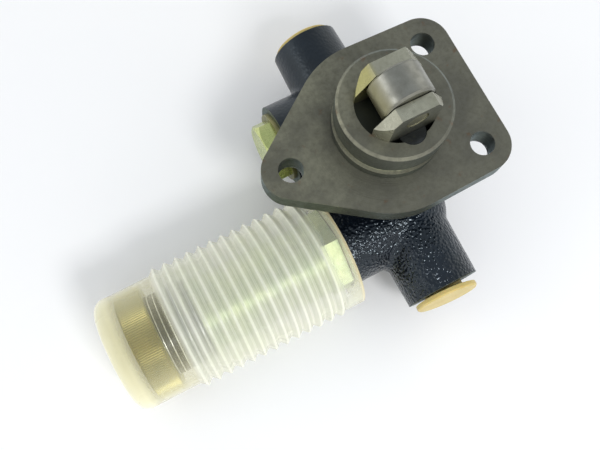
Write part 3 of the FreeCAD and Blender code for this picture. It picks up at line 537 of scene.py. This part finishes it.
plated("plated barrel", seen(200, 208, 158), seen(164, 182, 140), 0.4, 0.003, "primer_barrel")
plated("plated plugs", seen(212, 216, 150), seen(180, 194, 124), 0.26, 0.02, "delivery_plug", "piston_plug")
knob_zinc = plated("plated knob", seen(180, 168, 98), seen(156, 148, 84), 0.3, 0.02, "primer_knob")
plated("sealing rings", seen(150, 146, 104), seen(120, 118, 84), 0.38, 0.03, "delivery_plug_washer",
       "piston_plug_washer", "primer_barrel_washer")


# %% [markdown]
# ## Plastics and rubber
# The dust plugs are soft moulded plastic: light sinks in a little before it comes back. The valve discs are
# dark nylon and the rings are rubber. They sit inside the pump, but each still gets a real finish.

# %% Moulded pieces
def moulded(name, pale, deep, rough, sink, *names):
    material, tree, shader, place = new_finish(name, Subsurface_Weight=sink, Subsurface_Scale=0.002)
    shader.inputs["Subsurface Radius"].default_value = (1.0, 0.6, 0.3)
    drift = effect(tree, cloudy, place, Size=120.0, Low=0.4, High=0.7)
    fine = effect(tree, cloudy, place, Size=1500.0, Low=0.4, High=0.7)
    tree.links.new(blend_colour(tree, drift, pale, deep), shader.inputs["Base Color"])
    link(tree, fine * 0.12 + rough, shader.inputs["Roughness"])
    raise_surface(tree, shader, fine, 0.03 * MM)
    wear_this(material, *names)


moulded("yellow plug plastic", seen(206, 186, 118), seen(194, 172, 100), 0.4, 0.3,
        "inlet_dust_plug", "outlet_dust_plug")
moulded("dark nylon", seen(58, 52, 44), seen(44, 40, 36), 0.4, 0.0, "suction_valve", "delivery_valve")
moulded("black rubber", seen(34, 34, 34), seen(26, 26, 27), 0.55, 0.0, "rod_seal", "primer_piston_ring")

alloy, tree, shader, place = new_finish("turned alloy", Metallic=0.95)
drift = effect(tree, cloudy, place, Size=200.0)
turned = blend_colour(tree, drift, seen(206, 206, 204), seen(186, 187, 188))
tree.links.new(turned, shader.inputs["Base Color"])
link(tree, drift * 0.1 + 0.3, shader.inputs["Roughness"])
raise_surface(tree, shader, effect(tree, brushed, place, Along=900.0, Across=900.0), 0.03 * MM)
wear_this(alloy, "primer_piston")

# %% [markdown]
# ## Coils
# A spring and a screw thread are the same thing to a geometry tree: a profile swept along a helix. One tree
# makes all four springs and the thread on the primer's head. The profile has few sides for a thread and
# more for round wire.

# %% The coil tree
coil = new_geometry_tree("coil", {
    "Coil Radius": "NodeSocketFloat", "Wire Radius": "NodeSocketFloat", "Height": "NodeSocketFloat",
    "Turns": "NodeSocketFloat", "Sides": "NodeSocketInt", "Turned": "NodeSocketVector",
    "Start": "NodeSocketVector", "Material": "NodeSocketMaterial"})
spiral = coil.nodes.new("GeometryNodeCurveSpiral")
spiral.inputs["Resolution"].default_value = 40
for target, label in (("Rotations", "Turns"), ("Start Radius", "Coil Radius"),
                      ("End Radius", "Coil Radius"), ("Height", "Height")):
    link(coil, size_of(coil, label), spiral.inputs[target])
upright = coil.nodes.new("GeometryNodeSetCurveNormal")
upright.mode = "Z_UP"
wire = coil.nodes.new("GeometryNodeCurvePrimitiveCircle")
link(coil, size_of(coil, "Sides"), wire.inputs["Resolution"])
link(coil, size_of(coil, "Wire Radius"), wire.inputs["Radius"])
sweep = coil.nodes.new("GeometryNodeCurveToMesh")
sweep.inputs["Fill Caps"].default_value = True
move = coil.nodes.new("GeometryNodeTransform")
coil.links.new(spiral.outputs["Curve"], upright.inputs["Curve"])
coil.links.new(upright.outputs["Curve"], sweep.inputs["Curve"])
coil.links.new(wire.outputs["Curve"], sweep.inputs["Profile Curve"])
coil.links.new(sweep.outputs["Mesh"], move.inputs["Geometry"])
link(coil, size_of(coil, "Turned"), move.inputs["Rotation"])
link(coil, size_of(coil, "Start"), move.inputs["Translation"])
finish_tree(coil, move.outputs["Geometry"])
print("coil tree:", len(coil.nodes), "nodes")

# %% Four springs
spring_wire, tree, shader, place = new_finish("spring wire", Metallic=0.95)
drift = effect(tree, cloudy, place, Size=300.0)
drawn = blend_colour(tree, drift, seen(150, 150, 152), seen(112, 112, 116))
tree.links.new(drawn, shader.inputs["Base Color"])
link(tree, drift * 0.1 + 0.28, shader.inputs["Roughness"])
raise_surface(tree, shader, effect(tree, cloudy, place, Size=2500.0), 0.02 * MM)

ALONG_PRIMER = (0.0, math.radians(-90), 0.0)
springs = (
    ("tappet_spring", 8.2, 1.0, 5.0, (0, 0, 0), "housing", "tappet"),
    ("piston_spring", 5.7, 0.8, 6.0, (0, 0, 0), "housing", "piston"),
    ("suction_valve_spring", 3.2, 0.4, 4.0, ALONG_PRIMER, "suction_valve", "housing"),
    ("delivery_valve_spring", 3.2, 0.4, 4.0, ALONG_PRIMER, "delivery_valve", "housing"),
)
for name, coil_radius, wire_radius, turns, turned, first, last in springs:
    low, high = (Vector(corner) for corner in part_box(name))
    middle = (low + high) / 2
    axis = 0 if any(turned) else 2
    start, end = middle.copy(), middle.copy()
    start[axis], end[axis] = (high[axis], low[axis]) if axis == 0 else (low[axis], high[axis])
    way = (end - start).normalized()
    tall = (end - start).length - 2 * wire_radius * MM
    spring = grown(name + "_wire", coil, {
        "Coil Radius": coil_radius * MM, "Wire Radius": wire_radius * MM, "Height": tall, "Turns": turns,
        "Sides": 10, "Turned": turned, "Start": start + way * wire_radius * MM, "Material": spring_wire})
    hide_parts(name)
    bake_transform(spring)

# %% [markdown]
# ## Thread of the primer's head
# Between the tube and the knob a dark steel head shows a few turns of coarse thread. The solid is a plain
# cylinder, so the thread is a shallow helical ridge laid on it, kept just inside the knob's bore.

# %% Head thread
THREAD_RADIUS, THREAD_RIDGE, THREAD_LONG, THREAD_TURNS = 15.35 * MM, 0.5 * MM, 16.0 * MM, 7.0
THREAD_START = -89.0 * MM
thread = grown("primer_head_thread", coil, {
    "Coil Radius": THREAD_RADIUS, "Wire Radius": THREAD_RIDGE, "Height": THREAD_LONG,
    "Turns": THREAD_TURNS, "Sides": 4, "Turned": ALONG_PRIMER,
    "Start": (THREAD_START, PRIMER_Y, PORT_Z), "Material": crest_steel})
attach(thread, "housing")

# %% [markdown]
# ## Knurl of the knob
# The knob's rim has about 150 straight ridges. One slim prism is placed on every point of a circle and
# turned to face outwards, which is what Instance on Points does. The ridges stand a third of a millimetre
# proud of the solid knob.

# %% The knurl tree
knurl = new_geometry_tree("knurl", {
    "Count": "NodeSocketInt", "Rim Radius": "NodeSocketFloat", "Ridge": "NodeSocketFloat",
    "Length": "NodeSocketFloat", "Middle": "NodeSocketVector", "Material": "NodeSocketMaterial"})
ring = knurl.nodes.new("GeometryNodeMeshCircle")
link(knurl, size_of(knurl, "Count"), ring.inputs["Vertices"])
link(knurl, size_of(knurl, "Rim Radius"), ring.inputs["Radius"])
ridge = knurl.nodes.new("GeometryNodeMeshCylinder")
ridge.inputs["Vertices"].default_value = 4
ridge.inputs["Side Segments"].default_value = 1
link(knurl, size_of(knurl, "Ridge"), ridge.inputs["Radius"])
link(knurl, size_of(knurl, "Length"), ridge.inputs["Depth"])
number = Field(knurl, knurl.nodes.new("GeometryNodeInputIndex").outputs[0])
angle = number * (2 * math.pi) / size_of(knurl, "Count")
place_ridges = knurl.nodes.new("GeometryNodeInstanceOnPoints")
knurl.links.new(ring.outputs["Mesh"], place_ridges.inputs["Points"])
knurl.links.new(ridge.outputs["Mesh"], place_ridges.inputs["Instance"])
knurl.links.new(combine(knurl, 0.0, 0.0, angle), place_ridges.inputs["Rotation"])
move = knurl.nodes.new("GeometryNodeTransform")
knurl.links.new(place_ridges.outputs[0], move.inputs["Geometry"])
move.inputs["Rotation"].default_value = ALONG_PRIMER
link(knurl, size_of(knurl, "Middle"), move.inputs["Translation"])
finish_tree(knurl, move.outputs["Geometry"])

# %% Put the knurl on the knob
KNURL_COUNT, KNURL_RIDGE, KNURL_MARGIN = 150, 0.34 * MM, 1.0 * MM
knob_low, knob_high = (Vector(corner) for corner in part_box("primer_knob"))
knob_middle = (knob_low + knob_high) / 2
teeth = grown("primer_knob_knurl", knurl, {
    "Count": KNURL_COUNT, "Rim Radius": (knob_high.z - knob_low.z) / 2, "Ridge": KNURL_RIDGE,
    "Length": (knob_high.x - knob_low.x) - KNURL_MARGIN, "Middle": knob_middle,
    "Material": knob_zinc})
for polygon in teeth.data.polygons:
    polygon.use_smooth = False
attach(teeth, "knob")

# %% [markdown]
# ## The boot
# A translucent plastic boot covers the whole hand primer: a smooth collar, thirteen sharp ribs and a clear
# cup over the knob. Its outline follows a rule, so a grid is bent into it: one direction of the grid walks
# along the outline, the other goes round. The wall's thickness comes afterwards, from Solidify.

# %% Sizes of the boot
BOOT = {
    "Mouth": 15.7, "Seat": 30.8, "Collar Radius": 22.8, "Collar End": 38.0, "Pitch": 4.64, "Ribs": 13,
    "Crest": 24.0, "Valley": 22.0, "Cup Radius": 21.8, "Cup End": 121.4, "Bend": 4.5}
boot_tree = new_geometry_tree("ribbed boot", {
    **{label: "NodeSocketFloat" for label in BOOT}, "Rows": "NodeSocketInt", "Columns": "NodeSocketInt",
    "Sharpness": "NodeSocketFloat", "Material": "NodeSocketMaterial"})
size = {label: size_of(boot_tree, label) for label in [*BOOT, "Sharpness"]}

# %% The boot's outline as fields
sheet = boot_tree.nodes.new("GeometryNodeMeshGrid")
sheet.inputs["Size X"].default_value = 1.0
sheet.inputs["Size Y"].default_value = 1.0
link(boot_tree, size_of(boot_tree, "Rows"), sheet.inputs["Vertices X"])
link(boot_tree, size_of(boot_tree, "Columns"), sheet.inputs["Vertices Y"])
spread = boot_tree.nodes.new("ShaderNodeSeparateXYZ")
boot_tree.links.new(boot_tree.nodes.new("GeometryNodeInputPosition").outputs[0], spread.inputs[0])
along = Field(boot_tree, spread.outputs[0]) + 0.5
angle = (Field(boot_tree, spread.outputs[1]) + 0.5) * (2 * math.pi)
face = size["Collar Radius"] - size["Mouth"]
straight = size["Cup End"] - size["Bend"] - size["Seat"]
corner = size["Bend"] * (math.pi / 2)
walk = along * (face + straight + corner + size["Cup Radius"] - size["Bend"])
side = (walk - face).highest(0.0).lowest(straight)
lean = ((walk - face - straight) / size["Bend"]).highest(0.0).lowest(math.pi / 2)
cap = (walk - face - straight - corner).highest(0.0)
count = (size["Seat"] + side - size["Collar End"]) / size["Pitch"]
after = count.above(size["Ribs"])
ribbed = count.above(0.0) - after
tooth = (1.0 - (count.fraction() * 2.0 - 1.0).size()).power(size["Sharpness"])
wall = (size["Valley"] + (size["Crest"] - size["Valley"]) * tooth * ribbed
        + (size["Collar Radius"] - size["Valley"]) * (1.0 - count.above(0.0))
        + (size["Cup Radius"] - size["Valley"]) * after)
radius = (size["Mouth"] + walk).lowest(wall) - size["Bend"] * (1.0 - lean.cosine()) - cap
depth = size["Seat"] + side + size["Bend"] * lean.sine()
bend_grid = boot_tree.nodes.new("GeometryNodeSetPosition")
boot_tree.links.new(sheet.outputs["Mesh"], bend_grid.inputs["Geometry"])
boot_tree.links.new(combine(boot_tree, depth * -1.0, radius * angle.cosine() + PRIMER_Y / MM,
                            radius * angle.sine() + PORT_Z / MM), bend_grid.inputs["Position"])
join = boot_tree.nodes.new("GeometryNodeMergeByDistance")
join.inputs["Distance"].default_value = 0.002
boot_tree.links.new(bend_grid.outputs[0], join.inputs["Geometry"])
shrink = boot_tree.nodes.new("GeometryNodeTransform")
shrink.inputs["Scale"].default_value = (MM, MM, MM)
boot_tree.links.new(join.outputs[0], shrink.inputs["Geometry"])
finish_tree(boot_tree, shrink.outputs["Geometry"])
print("boot tree:", len(boot_tree.nodes), "nodes")

# %% [markdown]
# ## The plastic of the boot
# The boot lets light through, but it is milky where the wall is seen edge on, on the crests of the ribs
# and at the thick end of the cup, and clear on the collar. All of this is one Alpha made from masks. The
# ribs are told apart by their distance from the primer's axis. The collar and the cup are told apart by
# a number stored on the mesh, which stays with the wall when the boot is stretched.

# %% Translucent plastic
CUP_FROM, RIM_FROM = (96 * MM, 99 * MM), (113 * MM, 117 * MM)
COLLAR_TO, LIP_TO = (37.6 * MM, 38.6 * MM), (31.4 * MM, 31.9 * MM)
CREST_AT, FLANK_AT, VALLEY_AT = (23.3 * MM, 23.9 * MM), (22.35 * MM, 22.8 * MM), (21.9 * MM, 22.2 * MM)
plastic, tree, shader, place = new_finish("translucent boot", IOR=1.46, Coat_Weight=0.6, Coat_Roughness=0.12)
rest_place = tree.nodes.new("ShaderNodeAttribute")
rest_place.attribute_name = "along"
along = Field(tree, rest_place.outputs["Fac"])
reach_out = around_primer(tree, place)
cup = along.between(*CUP_FROM)
collar = 1.0 - along.between(*COLLAR_TO)
lip = 1.0 - along.between(*LIP_TO)
thick_rim = along.between(*RIM_FROM)
ribs = 1.0 - cup.highest(collar)
crest = reach_out.between(*CREST_AT) * ribs
valley = band(reach_out, *VALLEY_AT, HARD_EDGE) * ribs
drift = effect(tree, cloudy, place, Size=60.0, Low=0.35, High=0.7)
milky = blend_colour(tree, drift, seen(255, 255, 246), seen(250, 254, 232))
milky = blend_colour(tree, cup, milky, seen(248, 243, 204))
milky = blend_colour(tree, lip, milky, seen(250, 236, 190))
link(tree, drift * 0.08 + 0.24, shader.inputs["Roughness"])
facing = tree.nodes.new("ShaderNodeLayerWeight")
facing.inputs["Blend"].default_value = 0.3
edge = Field(tree, facing.outputs["Facing"])
# Painted dark reflections: darker streaks on the flanks of the ribs, where they face the eye.
flank_dark_reflection = band(reach_out, *FLANK_AT, HARD_EDGE) * ribs * (1.0 - edge * 1.6).highest(0.0)
milky = blend_colour(tree, flank_dark_reflection * 0.6, milky, seen(118, 130, 108))
tree.links.new(blend_colour(tree, edge * 0.8, milky, seen(255, 252, 224)), shader.inputs["Base Color"])
cover = (ribs * 0.22 + cup * 0.08 + collar * 0.1 + crest * 0.3 + valley * 0.1 + thick_rim * 0.42
         + lip * 0.3)
link(tree, (edge * 0.66 + cover + flank_dark_reflection * 0.16).lowest(1.0), shader.inputs["Alpha"])
raise_surface(tree, shader, drift, 0.05 * MM)

# %% Make the boot
BOOT_WALL = 0.9 * MM
boot = grown("primer_boot_shell", boot_tree, {
    **{label: float(value) for label, value in BOOT.items()}, "Rows": 281, "Columns": 97,
    "Sharpness": 1.2, "Material": plastic})
rest_along = boot.data.attributes.new("along", "FLOAT", "POINT")
rest_along.data.foreach_set("value", [-corner.co.x for corner in boot.data.vertices])
thicken = boot.modifiers.new("wall", "SOLIDIFY")
thicken.thickness = BOOT_WALL
thicken.offset = -1.0
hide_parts("primer_boot")
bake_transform(boot)
boot_low, boot_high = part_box("primer_boot")
print("boot box, mm:", [round(v / MM, 1) for v in (*boot_low, *boot_high)])

# %% [markdown]
# ## Floor, light and camera
# The pump lies on a plain white sheet. A pale room, brighter low down than overhead, gives soft shadows.
# One small strong lamp stands for the window: it makes the paint sparkle and draws a long stripe on the
# barrel. A weaker one on the far side lights the roller. The camera stands where the photograph was taken
# from, nearly overhead.

# %% Floor
SHEET_REACH = 3.0
corners = [(x_sign * SHEET_REACH, y_sign * SHEET_REACH, FLOOR_Z)
           for x_sign, y_sign in ((-1, -1), (1, -1), (1, 1), (-1, 1))]
floor_mesh = bpy.data.meshes.new("floor")
floor_mesh.from_pydata(corners, [], [(0, 1, 2, 3)])
floor = bpy.data.objects.new("floor", floor_mesh)
bpy.context.scene.collection.objects.link(floor)
sheet_white, tree, shader, place = new_finish("white sheet", Roughness=0.7)
tree.links.new(blend_colour(tree, effect(tree, cloudy, place, Size=3.0), seen(252, 252, 253),
                            seen(250, 250, 252)), shader.inputs["Base Color"])
floor_mesh.materials.append(sheet_white)
print("floor:", 2 * SHEET_REACH, "m square")

# %% Light
LOW_LIGHT, HIGH_LIGHT, ROOM_STRENGTH = (1.0, 1.0, 0.98, 1.0), (0.46, 0.49, 0.52, 1.0), 1.12
WINDOW_AT, FAR_WINDOW_AT = (0.0, -0.465, 0.555), (-0.75, 0.26, 0.46)
scene = bpy.context.scene
scene.world = bpy.data.worlds.new("pale room")
scene.world.use_nodes = True
room = scene.world.node_tree
sky = room.nodes["Background"]
height = coordinate(room, room.nodes.new("ShaderNodeTexCoord").outputs["Generated"], "Z")
room.links.new(blend_colour(room, height.between(0.25, 0.95), LOW_LIGHT, HIGH_LIGHT), sky.inputs["Color"])
sky.inputs["Strength"].default_value = ROOM_STRENGTH


def add_lamp(name, where, aim, width, power):
    lamp = bpy.data.lights.new(name, "AREA")
    lamp.size = width
    lamp.energy = power
    holder = bpy.data.objects.new(name, lamp)
    scene.collection.objects.link(holder)
    holder.location = where
    holder.rotation_euler = (Vector(aim) - Vector(where)).to_track_quat("-Z", "Y").to_euler()


add_lamp("window", WINDOW_AT, (-0.04, -0.01, 0), 0.17, 2.1)
add_lamp("far window", FAR_WINDOW_AT, (0, 0, 0), 0.3, 0.5)
scene.view_settings.view_transform = "Standard"

# %% Camera
CAMERA_PLACE = (-30.54, -35.52, 264.08)
azimuth, elevation, roll = (math.radians(degrees) for degrees in (-38.79, 75.39, 11.51))
right = Vector((math.cos(azimuth), math.sin(azimuth), 0))
back = Vector((math.sin(azimuth) * math.cos(elevation), -math.cos(azimuth) * math.cos(elevation),
               math.sin(elevation)))
up = back.cross(right)
side_way = right * math.cos(roll) + up * math.sin(roll)
top_way = up * math.cos(roll) - right * math.sin(roll)
eye = bpy.data.cameras.new("eye")
eye.sensor_width = 36.0
eye.lens = 45.0
eye.clip_start = 0.01
camera = bpy.data.objects.new("eye", eye)
scene.collection.objects.link(camera)
where = (side_way * CAMERA_PLACE[0] + top_way * CAMERA_PLACE[1] + back * CAMERA_PLACE[2]) * MM
camera.matrix_world = Matrix.Translation(where) @ Matrix((side_way, top_way, back)).transposed().to_4x4()
scene.camera = camera
print("camera at, mm:", [round(v / MM, 1) for v in where])
